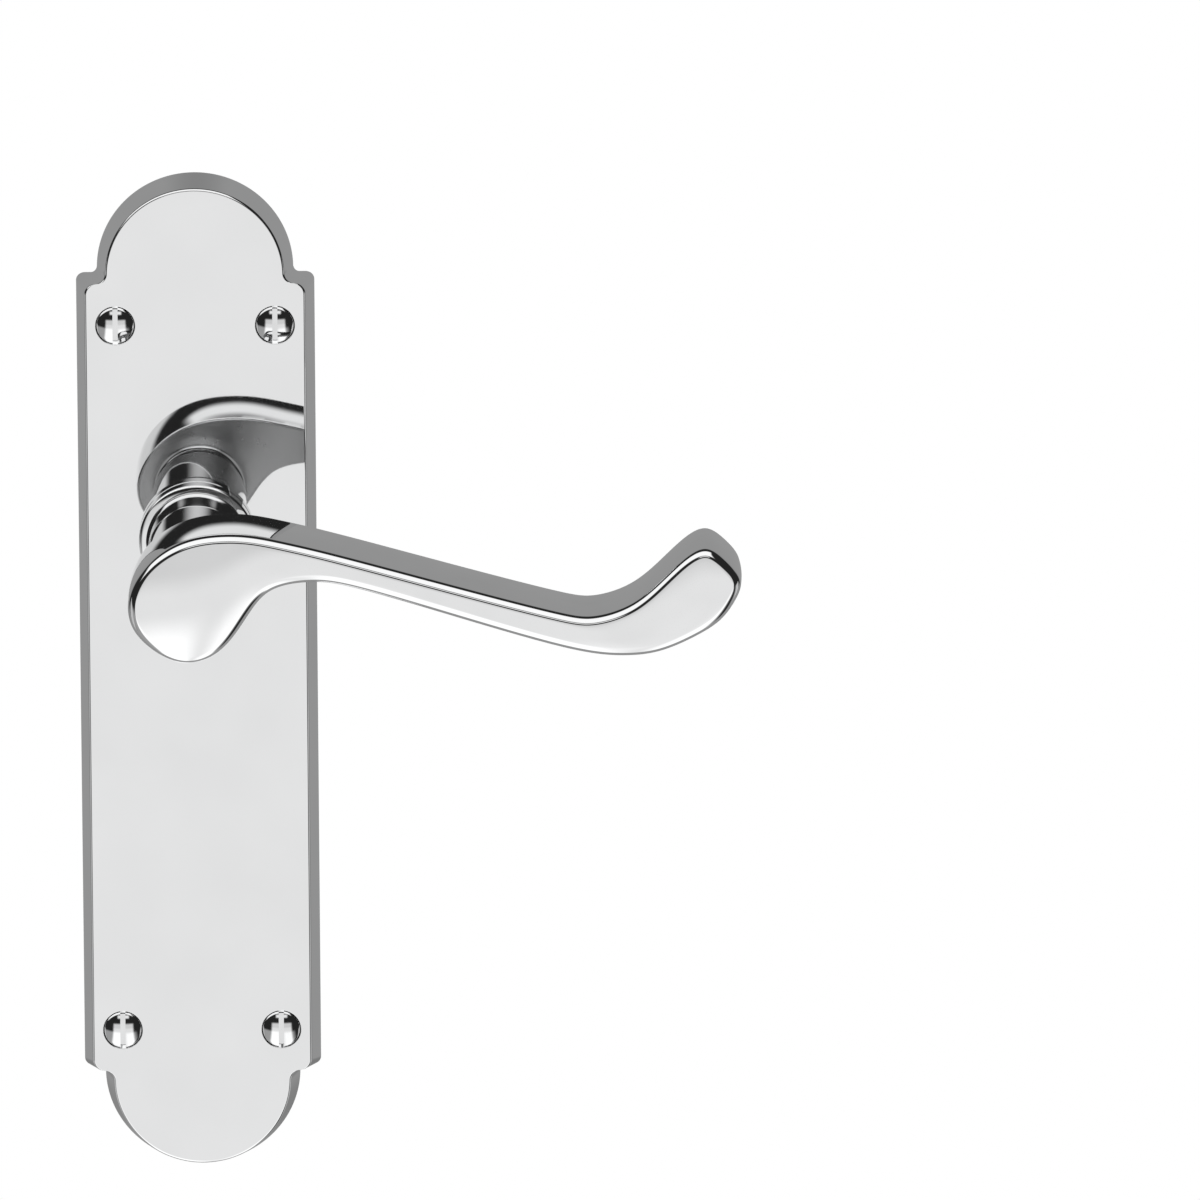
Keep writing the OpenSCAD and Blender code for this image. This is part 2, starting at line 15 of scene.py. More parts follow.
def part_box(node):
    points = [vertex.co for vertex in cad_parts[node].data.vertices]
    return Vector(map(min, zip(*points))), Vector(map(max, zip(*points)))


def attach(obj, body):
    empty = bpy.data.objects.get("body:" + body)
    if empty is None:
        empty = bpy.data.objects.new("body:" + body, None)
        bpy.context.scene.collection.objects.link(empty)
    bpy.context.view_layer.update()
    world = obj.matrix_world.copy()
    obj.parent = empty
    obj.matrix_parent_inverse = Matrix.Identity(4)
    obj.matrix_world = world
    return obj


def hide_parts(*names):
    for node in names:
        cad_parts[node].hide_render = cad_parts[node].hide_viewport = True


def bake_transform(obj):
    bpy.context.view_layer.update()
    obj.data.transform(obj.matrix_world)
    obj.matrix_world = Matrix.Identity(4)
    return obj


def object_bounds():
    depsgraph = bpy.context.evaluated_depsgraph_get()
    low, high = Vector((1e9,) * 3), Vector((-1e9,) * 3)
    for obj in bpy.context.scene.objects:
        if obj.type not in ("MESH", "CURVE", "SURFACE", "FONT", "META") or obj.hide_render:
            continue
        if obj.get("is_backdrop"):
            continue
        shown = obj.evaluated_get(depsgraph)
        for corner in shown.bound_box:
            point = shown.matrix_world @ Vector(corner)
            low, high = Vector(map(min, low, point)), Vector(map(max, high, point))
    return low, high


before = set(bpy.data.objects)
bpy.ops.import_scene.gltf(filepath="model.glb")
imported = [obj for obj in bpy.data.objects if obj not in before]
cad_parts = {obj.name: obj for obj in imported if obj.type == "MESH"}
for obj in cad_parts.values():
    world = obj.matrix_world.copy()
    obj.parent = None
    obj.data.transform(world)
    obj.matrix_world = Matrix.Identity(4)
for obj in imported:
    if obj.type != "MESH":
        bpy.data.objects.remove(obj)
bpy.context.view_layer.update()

MM = 0.001
FIXED = "backplate_assembly"
TURNING = "lever_assembly"


def box_mm(node):
    """Lowest and highest corner of a CAD node, in millimetres."""
    low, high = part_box(node)
    return low / MM, high / MM


def middle(node):
    """Where the middle of a CAD node's box is in x and z."""
    low, high = box_mm(node)
    return (low.x + high.x) / 2, (low.z + high.z) / 2


def half_width(node):
    """Half of a CAD node's width in x, which is the radius of a round one."""
    low, high = box_mm(node)
    return (high.x - low.x) / 2


# ---- Clearances ----

STACK_GAP = 0.05            # between pieces stacked along the axis
LOOSE_GAP = 0.15            # round what drops into the plate
THREAD_GAP = 0.02           # round a thread in its hole
SOCKET_GAP = 0.1            # across the spindle's socket
SOCKET_SPARE = 0.5          # depth of the socket past the spindle's end
FLATS_SPARE = 0.1           # length of the spigot's flats past the drive plate

# ---- Sizes taken from the frame ----

plate_low, plate_high = box_mm("backplate")
collar_low, collar_high = box_mm("neck_collar")
spindle_low, spindle_high = box_mm("spindle")
cover_low, cover_high = box_mm("spring_cover")
grub_low, grub_high = box_mm("grub_screw")
circlip_low, circlip_high = box_mm("circlip")
washer_low = box_mm("neck_washer")[0]
thrust_low = box_mm("thrust_washer")[0]
drive_low = box_mm("drive_plate")[0]
bush_high = box_mm("bearing_bush")[1]

fixing_screws = [f"fixing_screw_{i}" for i in range(1, 5)]
cover_screws = [f"cover_screw_{i}" for i in (1, 2)]
screw_places = [middle(name) for name in fixing_screws]
screw_head_r = half_width(fixing_screws[0])

plate_w = plate_high.x - plate_low.x
plate_h = plate_high.z - plate_low.z
plate_mid_z = (plate_high.z + plate_low.z) / 2
face_y = plate_low.y
collar_y = collar_low.y
collar_r = collar_high.x
bush_r = bush_high.x
neck_end_y = washer_low.y - STACK_GAP
pocket_y = thrust_low.y
cover_t = cover_high.y - cover_low.y
socket_w = spindle_high.x - spindle_low.x + SOCKET_GAP
socket_y = spindle_low.y - SOCKET_SPARE
grub_y = (grub_low.y + grub_high.y) / 2

# ---- Sizes of the finished surfaces ----

plate_bevel = 1.45          # how far the sides lean in from the back to the front
arch_r = 17.1               # arched ends, at the back
cove_r = 1.2                # hollow between an arch and its shoulder
corner_r = 1.4              # shoulder's corner
front_softening = 0.6       # extra radius of both at the front
cove_rise = 0.4             # height of the hollow's centre above the arch's centre
plate_edge_r = 0.5
plate_chamfer = 0.15        # at the back
rim_w = 2.4                 # between the plate's side and the hollow in its back
block_half_h = 25           # solid block round the spring pocket
rib_t = 1.6
rib_count = 2
boss_wall = 1.8             # round a screw's head
pocket_r = 16
cover_ear_r = 3.7

neck_foot_r = 8.9
neck_shoulder = 6           # length of the slope behind the neck
neck_r = 8.3
neck_waist_r = 7.3
neck_taper = 6              # length of the taper in front of it
neck_edge_r = 0.2
neck_fillet = 1.1           # where it runs into the scroll
spigot_r = 7.25
spigot_chamfer = 0.3
drive_flats_w = 12.8
groove_depth = 0.75         # for the circlip
tail_wall = 0.8
collar_edge_r = 0.4
collar_slope = 12           # of the collar's front, in degrees
collar_foot = 0.25          # chamfer against the plate
collar_mouth = 0.2          # chamfer of its bore

lever_gap = 31.1            # from the plate's face to the back of the lever
lever_depth = 15.4
lever_edge_r = 1.6
lever_back_r = 0.5
lever_draft = 0.2           # how far the sides lean in towards the back
lever_belly = 0.23          # how far the sides swell out halfway
face_crown_r = 90
lever_reach = 94.5          # from the spindle's axis to the tip

lever_back_y = face_y - lever_gap
lever_front_y = lever_back_y - lever_depth

wire_d = 1.2
coil_r = 14.7
coil_turns = 1.5
anchor_leg = 2.4            # outwards, into the plate
drive_leg = 2.6             # inwards, into the drive plate
coil_front_y = pocket_y + wire_d / 2 + STACK_GAP
coil_back_y = -cover_t - LOOSE_GAP - wire_d / 2 - STACK_GAP

screw_thread_r = 1.75
screw_shank_r = 1.45
screw_core_r = 1.2
screw_pitch = 1.35
screw_point = 5             # length of its taper
screw_slot_w = 0.9
screw_slot_d = 0.5          # below the plate's face
cover_thread_r = 1.5
cover_core_r = 1.2
cover_pitch = 0.5
cover_slot_w = 0.7
cover_slot_d = 0.5
head_lip = 0.12             # blunt edge of a screw's head and of its countersink
grub_thread = 0.45          # height of the grub screw's thread
grub_pitch = 0.8
key_w = 2.5                 # across the flats of its socket
key_depth = 2.2

# The lever's outline as ribs: upper x and z, lower x and z. The head's ribs are placed from the
# spindle's axis and the scroll's ribs back from the tip.
head_start = (-11.2, -1)
head_ribs = [(-10.8, 2.9, -9.6, -5), (-7.5, 8.2, -3.5, -9.5), (-1.3, 12.1, 1.8, -9.4),
             (5.4, 13.2, 6.1, -6.2), (10.5, 12.9, 9.9, -0.7), (15.5, 11.9, 13.6, 3.1),
             (20.5, 10.7, 19.8, 4.5), (31.9, 7.6, 28.1, 3.4)]
scroll_ribs = [(-31, -1.1, -31, -7.3), (-25.1, -1.7, -20.3, -8.9), (-18.5, 0.7, -14.2, -8.2),
               (-11.4, 7, -7.8, -5.5), (-6.2, 10.2, -3.5, -2.6), (-2.6, 8.2, -1, 0.8)]
scroll_end = (0, 4.4)

# How finely the curves are cut
ARCH_STEPS = 60
BEND_STEPS = 12
CURVE_STEPS = 14
EDGE_STEPS = 16
WALL_STEPS = 10
CROWN_STEPS = 18
TURNED_STEPS = 192
SHOULDER_STEPS = 14
TAPER_STEPS = 12
DOME_STEPS = 14
LIP_STEPS = 6
COIL_STEPS = 160
LEG_STEPS = 6
WIRE_STEPS = 20
ROUND_STEPS = 128
SINK_STEPS = 96
HOLE_STEPS = 64
SCREW_STEPS = 56
SMALL_STEPS = 48
SMOOTH_BELOW = 32           # angle between faces, in degrees
OVER = 0.5                  # how far a cutting shape runs past what it cuts


# ---- Mesh tools ----

def arc(centre, r, start, end, steps):
    """Points on an arc, angles in degrees."""
    turns = [math.radians(start + (end - start) * i / steps) for i in range(steps + 1)]
    return [(centre[0] + r * math.cos(t), centre[1] + r * math.sin(t)) for t in turns]


def solid(verts, faces, material):
    """A mesh object in millimetres, its faces turned outwards."""
    mesh = bpy.data.meshes.new("shape")
    mesh.from_pydata([tuple(v) for v in verts], [], faces)
    shape = bpy.data.objects.new("shape", mesh)
    bpy.context.scene.collection.objects.link(shape)
    bm = bmesh.new()
    bm.from_mesh(mesh)
    bmesh.ops.recalc_face_normals(bm, faces=bm.faces)
    bm.to_mesh(mesh)
    bm.free()
    mesh.materials.append(material)
    return shape


def loft(rings, material, closed=False):
    """A skin over rings with equal numbers of points, with flat ends unless it closes on itself."""
    n, count = len(rings[0]), len(rings)
    spans = count if closed else count - 1
    faces = []
    for i in range(spans):
        low, high = i * n, ((i + 1) % count) * n
        faces += [(low + j, low + (j + 1) % n, high + (j + 1) % n, high + j) for j in range(n)]
    if not closed:
        faces += [tuple(range(n - 1, -1, -1)), tuple(range((count - 1) * n, count * n))]
    return solid([p for ring in rings for p in ring], faces, material)


def prism(outline, y_from, y_to, material):
    """A flat outline in x and z, drawn out along y."""
    return loft([[(x, y, z) for x, z in outline] for y in (y_from, y_to)], material)


def lathe(profile, material, centre=(0, 0), steps=ROUND_STEPS, closed=False):
    """A profile of radius and y, turned about an axis along y through the centre's x and z."""
    rings = [[(centre[0] + r * math.cos(a), y, centre[1] + r * math.sin(a))
              for a in (2 * math.pi * k / steps for k in range(steps))] for r, y in profile]
    return loft(rings, material, closed)


def bar(r, y_from, y_to, material, centre=(0, 0), steps=ROUND_STEPS):
    """A round bar along y."""
    return lathe([(r, y_from), (r, y_to)], material, centre, steps)


def block(low, high, material):
    """A box between two corners."""
    x0, y0, z0 = low
    x1, y1, z1 = high
    return prism([(x0, z0), (x1, z0), (x1, z1), (x0, z1)], y0, y1, material)


def turned(shape, angle, axis, about):
    """Turns a shape about an axis through a point, angle in degrees."""
    shift = Matrix.Translation(Vector(about))
    shape.data.transform(shift @ Matrix.Rotation(math.radians(angle), 4, axis) @ shift.inverted())
    return shape


def combine(shape, tools, operation):
    """Unites, cuts or intersects the shape with each tool, and uses the tools up."""
    for tool in tools:
        step = shape.modifiers.new("step", "BOOLEAN")
        step.operation = operation
        step.solver = "EXACT"
        step.material_mode = "TRANSFER"
        step.object = tool
    bpy.context.view_layer.update()
    graph = bpy.context.evaluated_depsgraph_get()
    made = bpy.data.meshes.new_from_object(shape.evaluated_get(graph))
    shape.modifiers.clear()
    shape.data = made
    for tool in tools:
        bpy.data.objects.remove(tool)
    return shape


def finished(shape, name, body, stands_for):
    """Turns a shape into a piece of the object: metres, smooth shading, body and node."""
    shape.name = name
    shape.data.name = name
    shape.data.transform(Matrix.Scale(MM, 4))
    shape.data.shade_smooth()
    shape.data.set_sharp_from_angle(angle=math.radians(SMOOTH_BELOW))
    weighted = shape.modifiers.new("even_normals", "WEIGHTED_NORMAL")
    weighted.keep_sharp = True
    weighted.weight = 50
    if body:
        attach(shape, body)
    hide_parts(*stands_for)
    return shape


# ---- Materials ----

class Nodes:
    """Short forms for building a material's or the world's node tree."""

    def __init__(self, tree):
        self.tree = tree
        tree.nodes.clear()

    def add(self, kind, sockets=None, **settings):
        """A node with its settings; each socket gets a value or another node's output."""
        made = self.tree.nodes.new(kind)
        for key, value in settings.items():
            setattr(made, key, value)
        for key, value in (sockets or {}).items():
            if hasattr(value, "is_output"):
                self.tree.links.new(value, made.inputs[key])
            else:
                made.inputs[key].default_value = value
        return made

    def math(self, operation, a, b=0.0):
        return self.add("ShaderNodeMath", {0: a, 1: b}, operation=operation).outputs[0]

    def map(self, value, from_low, from_high, to_low=0.0, to_high=1.0, kind="LINEAR"):
        sockets = {"Value": value, "From Min": from_low, "From Max": from_high,
                   "To Min": to_low, "To Max": to_high}
        return self.add("ShaderNodeMapRange", sockets, interpolation_type=kind).outputs["Result"]

    def noise(self, where, scale, detail, roughness=0.5):
        sockets = {"Vector": where, "Scale": scale, "Detail": detail, "Roughness": roughness}
        return self.add("ShaderNodeTexNoise", sockets).outputs["Fac"]

    def blend(self, share, a, b):
        """Mixes two colours, which are a mix node's sockets 6 and 7 and its output 2."""
        return self.add("ShaderNodeMix", {0: share, 6: a, 7: b}, data_type="RGBA").outputs[2]

    def bump(self, height, distance, under=None):
        sockets = {"Height": height, "Distance": distance, "Strength": 1.0}
        if under:
            sockets["Normal"] = under
        return self.add("ShaderNodeBump", sockets).outputs["Normal"]


def grey(value, blue=0.0):
    """A grey that leans a little towards blue."""
    return (value * (1 - blue), value, value * (1 + blue), 1.0)


def surface(name, light, dark, roughness, waviness, grain, stretch=(1, 1, 1), metallic=1.0,
            patch=60.0, grain_scale=900.0, back_shade_and_roughness=None):
    """A surface whose colour drifts from light to dark in patches and whose roughness and bump
    follow a fine grain. Waviness and grain are heights in metres. The last argument gives faces
    that look towards the door a painted shade colour, for the shade between the lever and the
    plate, and an extra roughness for their less polished finish."""
    spread = (0.3, 0.7)     # the noise seldom leaves these values
    fine_share = 0.6        # of the roughness
    material = bpy.data.materials.new(name + "_finish")
    material["slot"] = name
    material.use_nodes = True
    nodes = Nodes(material.node_tree)
    place = nodes.add("ShaderNodeTexCoord").outputs["Object"]
    stretched = nodes.add("ShaderNodeMapping", {"Vector": place, "Scale": stretch}).outputs[0]
    broad = nodes.noise(place, patch, 2.0)
    fine = nodes.noise(stretched, grain_scale, 4.0, 0.6)
    colour = nodes.blend(nodes.map(broad, *spread), dark, light)
    grained = nodes.math("ADD", nodes.math("MULTIPLY", fine, fine_share),
                         nodes.math("MULTIPLY", broad, 1 - fine_share))
    rough = nodes.map(grained, *spread, *roughness)
    # Faces that look towards the door: the darker colour is painted shade for the gap between lever
    # and plate, the extra roughness a less polished finish
    if back_shade_and_roughness:
        facing = nodes.add("ShaderNodeTexCoord").outputs["Normal"]
        towards_door = nodes.add("ShaderNodeSeparateXYZ", {0: facing}).outputs["Y"]
        share = nodes.map(towards_door, 0.9, 0.98, kind="SMOOTHSTEP")
        painted_back_shade, extra_roughness = back_shade_and_roughness
        colour = nodes.blend(share, colour, painted_back_shade)
        rough = nodes.math("ADD", rough, nodes.math("MULTIPLY", share, extra_roughness))
    normal = nodes.bump(broad, waviness)
    normal = nodes.bump(fine, grain, normal)
    shader = nodes.add("ShaderNodeBsdfPrincipled",
                       {"Base Color": colour, "Metallic": metallic, "Roughness": rough,
                        "Normal": normal})
    nodes.add("ShaderNodeOutputMaterial", {"Surface": shader.outputs[0]})
    return material


plate_chrome = surface("plate_chrome", grey(0.88, 0.004), grey(0.85, 0.004),
                       roughness=(0.015, 0.04), waviness=1.5e-6, grain=2e-8)
# The lever's faces towards the door get a painted shade colour, grey 0.42, and extra roughness
lever_chrome = surface("lever_chrome", grey(0.88, 0.004), grey(0.84, 0.004),
                       roughness=(0.02, 0.06), waviness=1.5e-6, grain=4e-8, patch=90.0,
                       back_shade_and_roughness=(grey(0.42), 0.22))
screw_chrome = surface("screw_chrome", grey(0.86, 0.004), grey(0.80, 0.004),
                       roughness=(0.03, 0.09), waviness=1e-6, grain=5e-8, patch=300.0,
                       grain_scale=2500.0)
cast_chrome = surface("cast_chrome", grey(0.62), grey(0.48),
                      roughness=(0.25, 0.42), waviness=4e-6, grain=1.2e-5, grain_scale=1800.0)
nylon = surface("nylon", (0.86, 0.83, 0.74, 1), (0.80, 0.77, 0.68, 1),
                roughness=(0.38, 0.55), waviness=2e-6, grain=1e-6, metallic=0.0)
zinc_plate = surface("zinc_plate", (0.62, 0.64, 0.68, 1), (0.50, 0.52, 0.57, 1),
                     roughness=(0.22, 0.42), waviness=2e-6, grain=1.5e-6, patch=240.0)
spindle_steel = surface("spindle_steel", grey(0.56), grey(0.43),
                        roughness=(0.22, 0.42), waviness=1e-6, grain=2.5e-6,
                        stretch=(1, 0.04, 1), grain_scale=2200.0)
spring_steel = surface("spring_steel", grey(0.34, 0.02), grey(0.24, 0.04),
                       roughness=(0.2, 0.38), waviness=1e-6, grain=1e-6)
hardened_steel = surface("hardened_steel", grey(0.13), grey(0.09),
                         roughness=(0.28, 0.45), waviness=1e-6, grain=1.5e-6, grain_scale=1500.0)


# ---- Backplate ----

def plate_quarter(half_w, r, cove, corner):
    """Right upper quarter of the plate's outline: arch, hollow, shoulder corner."""
    arch_z = plate_h / 2 - arch_r
    cove_c = (math.sqrt((r + cove) ** 2 - cove_rise ** 2), arch_z + cove_rise)
    gap = half_w - corner - cove_c[0]
    drop = cove + corner if gap >= 0 else math.sqrt((cove + corner) ** 2 - gap ** 2)
    lean = 0 if gap >= 0 else math.degrees(math.asin(gap / (cove + corner)))
    start = math.degrees(math.atan2(cove_rise, cove_c[0]))
    return (arc((0, arch_z), r, 90, start, ARCH_STEPS)
            + arc(cove_c, cove, 180 + start, 270 + lean, BEND_STEPS)
            + arc((half_w - corner, cove_c[1] - drop), corner, 90 + lean, 0, BEND_STEPS))


def plate_ring(y, lean, inset):
    """The plate's outline at a depth, leant in towards the front and moved inwards."""
    shrink = plate_bevel * lean + inset
    soft = front_softening * lean
    quarter = plate_quarter(plate_w / 2 - shrink, arch_r - shrink, cove_r + soft, corner_r + soft)
    right = quarter + [(x, -z) for x, z in reversed(quarter)]
    left = [(-x, z) for x, z in reversed(right)][1:-1]
    return [(x, y, z + plate_mid_z) for x, z in right + left]


def plate_shell():
    """The plate without its holes: leaning sides and a softly rounded front edge."""
    thickness = -face_y
    side_tilt = math.degrees(math.atan(plate_bevel / thickness))
    turns = [math.radians(side_tilt + (90 - side_tilt) * i / EDGE_STEPS)
             for i in range(EDGE_STEPS + 1)]
    edge = [plate_ring(face_y + plate_edge_r * (1 - math.sin(a)), 1,
                       plate_edge_r * (1 - math.cos(a))) for a in turns]
    back = [plate_ring(0, 0, plate_chamfer), plate_ring(-plate_chamfer, 0, 0)]
    return loft(back + edge, plate_chrome)


def plate_hollows():
    """The hollows in the plate's back: one long recess, less the block, the ribs and the bosses."""
    half_w = plate_w / 2 - plate_bevel - rim_w
    end_r = arch_r - plate_bevel - rim_w
    arch_z = plate_h / 2 - arch_r
    shoulder_z = arch_z - rim_w - cove_r
    turn = math.degrees(math.asin((arch_z - shoulder_z) / end_r))
    top = [(half_w, shoulder_z)] + arc((0, arch_z), end_r, -turn, 180 + turn, ARCH_STEPS)
    top += [(-half_w, shoulder_z)]
    outline = top + [(-x, -z) for x, z in top]
    recess = prism([(x, z + plate_mid_z) for x, z in outline], pocket_y, OVER, cast_chrome)
    floor_y = pocket_y - 2 * OVER
    top_y = 2 * OVER
    keep = [block((-plate_w, floor_y, -block_half_h), (plate_w, top_y, block_half_h), cast_chrome)]
    long_h = shoulder_z - plate_mid_z - block_half_h
    for i in range(1, rib_count + 1):
        z = -block_half_h - i * long_h / (rib_count + 1)
        keep.append(block((-plate_w, floor_y, z - rib_t / 2), (plate_w, top_y, z + rib_t / 2),
                          cast_chrome))
    keep += [bar(screw_head_r + boss_wall, floor_y, top_y, cast_chrome, place, steps=HOLE_STEPS)
             for place in screw_places]
    return combine(recess, keep, "DIFFERENCE")


def countersink(place):
    """Cutter for a screw's hole: clearance bore, cone and a softly broken edge at the face."""
    bore_r = screw_thread_r + LOOSE_GAP
    cone_h = screw_head_r - screw_thread_r
    outer = screw_head_r + LOOSE_GAP
    profile = [(bore_r, 2 * OVER), (bore_r, face_y + cone_h), (outer, face_y + head_lip)]
    turns = [math.radians(90 * i / LIP_STEPS) for i in range(1, LIP_STEPS + 1)]
    profile += [(outer + head_lip * (1 - math.cos(a)), face_y + head_lip * (1 - math.sin(a)))
                for a in turns]
    profile += [(outer + head_lip, face_y - OVER)]
    return lathe(profile, plate_chrome, place, steps=SINK_STEPS)


def cover_outline(grow):
    """The spring cover's outline: a disc with an ear above and below, and room round it."""
    ear_z = (cover_high.z - cover_low.z) / 2 - cover_ear_r
    ear_r = cover_ear_r + grow
    disc_r = cover_high.x + grow
    touch = math.degrees(math.acos(ear_r / disc_r))
    disc = arc((0, 0), disc_r, -touch, touch, ARCH_STEPS)
    ear = arc((0, ear_z), ear_r, 0, 180, ARCH_STEPS // 2)
    half = disc + ear
    return half + [(-x, -z) for x, z in half]


def backplate():
    """The plate with its hollows, the spring pocket, the cover's seat and all holes."""
    shell = plate_shell()
    wire_room = wire_d / 2 + LOOSE_GAP
    cutters = [
        plate_hollows(),
        bar(pocket_r, pocket_y, OVER, cast_chrome),
        prism(cover_outline(LOOSE_GAP), -cover_t - LOOSE_GAP, OVER, cast_chrome),
        bar(bush_r + tail_wall, face_y - OVER, OVER, plate_chrome),
        block((coil_r, coil_back_y - wire_room, -wire_room),
              (coil_r + anchor_leg + wire_d, OVER, wire_room), cast_chrome),
    ]
    for name in cover_screws:
        hole_y = box_mm(name)[0].y - STACK_GAP
        cutters.append(bar(cover_thread_r + THREAD_GAP, hole_y, OVER, cast_chrome,
                           (0, middle(name)[1]), steps=SMALL_STEPS))
    cutters += [countersink(place) for place in screw_places]
    combine(shell, cutters, "DIFFERENCE")
    return finished(shell, "backplate_finished", FIXED, ["backplate"])


def neck_collar():
    """Turned collar with a rounded edge and a sloping front, and its tail through the plate."""
    slope = math.tan(math.radians(collar_slope))
    rim_y = collar_y + (collar_r - collar_edge_r - neck_foot_r) * slope
    turns = [math.radians(a) for a in range(0, 91 - collar_slope, 6)]
    edge = [(collar_r - collar_edge_r * (1 - math.cos(a)), rim_y + collar_edge_r * (1 - math.sin(a)))
            for a in turns]
    undercut = 0.02         # keeps the tail's corner behind the plate's face
    tail_y = collar_high.y
    tail_r = bush_r + tail_wall
    profile = ([(bush_r, tail_y), (tail_r, tail_y), (tail_r, face_y + undercut),
                (collar_r - collar_foot, face_y), (collar_r, face_y - collar_foot)] + edge
               + [(neck_foot_r, collar_y), (bush_r + collar_mouth, collar_y),
                  (bush_r, collar_y + collar_mouth)])
    shape = lathe(profile, plate_chrome, steps=TURNED_STEPS, closed=True)
    return finished(shape, "neck_collar_finished", FIXED, ["neck_collar"])


# ---- Lever ----

def lever_points():
    """The points of the lever's outline in order, clockwise."""
    ribs = head_ribs + [(lever_reach + r[0], r[1], lever_reach + r[2], r[3]) for r in scroll_ribs]
    tip = (lever_reach + scroll_end[0], scroll_end[1])
    return ([head_start] + [(r[0], r[1]) for r in ribs] + [tip]
            + [(r[2], r[3]) for r in reversed(ribs)])


def smooth_loop(points, steps):
    """A closed curve through the points with continuous curvature, knots spaced by the root of
    the distance."""
    p = np.array(points, float)
    n = len(p)
    h = np.sqrt(np.linalg.norm(np.roll(p, -1, 0) - p, axis=1))
    before = np.roll(h, 1)
    rows = np.zeros((n, n))
    slope = (np.roll(p, -1, 0) - p) / h[:, None]
    for i in range(n):
        rows[i, i - 1] = before[i]
        rows[i, i] = 2 * (before[i] + h[i])
        rows[i, (i + 1) % n] = h[i]
    bend = np.linalg.solve(rows, 6 * (slope - np.roll(slope, 1, 0)))
    curve = []
    for i in range(n):
        j = (i + 1) % n
        for s in range(steps):
            t = h[i] * s / steps
            left = h[i] - t
            curve.append((bend[i] * left ** 3 + bend[j] * t ** 3) / (6 * h[i])
                         + (p[i] / h[i] - bend[i] * h[i] / 6) * left
                         + (p[j] / h[i] - bend[j] * h[i] / 6) * t)
    return np.array(curve)


def inward(curve):
    """Unit vectors that point into a clockwise outline."""
    along = np.roll(curve, -1, 0) - np.roll(curve, 1, 0)
    side = np.stack([along[:, 1], -along[:, 0]], 1)
    return side / np.linalg.norm(side, axis=1)[:, None]


def scroll():
    """The lever's scroll: flat back, swelling sides, rounded edges and a crowned front."""
    curve = smooth_loop(lever_points(), CURVE_STEPS)
    inner = inward(curve)
    n = len(curve)
    half = n // 2

    def ring(inset, y):
        moved = curve + inner * np.reshape(inset, (-1, 1))
        depth = np.full(n, y) if np.isscalar(y) else y
        return np.stack([moved[:, 0], depth, moved[:, 1]], 1)

    wall_back_y = lever_back_y - lever_back_r
    wall_front_y = lever_front_y + lever_edge_r
    rings = []
    for i in range(EDGE_STEPS):
        a = math.pi / 2 * i / EDGE_STEPS
        rings.append(ring(np.full(n, lever_draft + lever_back_r * (1 - math.sin(a))),
                          lever_back_y - lever_back_r * (1 - math.cos(a))))
    for i in range(WALL_STEPS, 0, -1):
        t = i / WALL_STEPS
        rings.append(ring(np.full(n, lever_draft * t - 4 * lever_belly * t * (1 - t)),
                          wall_front_y + (wall_back_y - wall_front_y) * t))
    # The front rounding stops where its slope meets the crown's
    width = np.zeros(n)
    across = np.zeros(n)
    for j in range(1, half):
        rib = curve[j] - curve[n - j]
        length = np.linalg.norm(rib)
        width[j] = width[n - j] = max(length - 2 * lever_edge_r, 0)
        across[j] = abs(rib @ inner[j]) / length
        across[n - j] = abs(rib @ inner[n - j]) / length
    least_across = 0.55     # keeps the slope moderate where ribs meet the outline at a slant
    crown_slope = np.arctan(width / (2 * face_crown_r) / np.maximum(across, least_across))
    for i in range(EDGE_STEPS + 1):
        a = (math.pi / 2 - crown_slope) * i / EDGE_STEPS
        rings.append(ring(lever_edge_r * (1 - np.cos(a)),
                          lever_front_y + lever_edge_r * (1 - np.sin(a))))

    verts = [tuple(p) for r in rings for p in r]
    faces = [tuple(range(n - 1, -1, -1))]
    for i in range(len(rings) - 1):
        low, high = i * n, (i + 1) * n
        faces += [(low + j, low + (j + 1) % n, high + (j + 1) % n, high + j) for j in range(n)]
    rim = rings[-1]
    base = (len(rings) - 1) * n
    ribs = []
    for j in range(1, half):
        upper, lower = rim[j], rim[n - j]
        rise = np.linalg.norm(upper - lower) ** 2 / (8 * face_crown_r)
        row = [base + j]
        for k in range(1, CROWN_STEPS):
            s = k / CROWN_STEPS
            point = upper + (lower - upper) * s
            point = point - np.array([0, 4 * rise * s * (1 - s), 0])
            row.append(len(verts))
            verts.append(tuple(point))
        ribs.append(row + [base + n - j])
    for a, b in zip(ribs, ribs[1:]):
        faces += [(a[k], b[k], b[k + 1], a[k + 1]) for k in range(CROWN_STEPS)]
    faces += [(base, ribs[0][k], ribs[0][k + 1]) for k in range(CROWN_STEPS)]
    faces += [(base + half, ribs[-1][k + 1], ribs[-1][k]) for k in range(CROWN_STEPS)]
    return solid(verts, faces, lever_chrome)


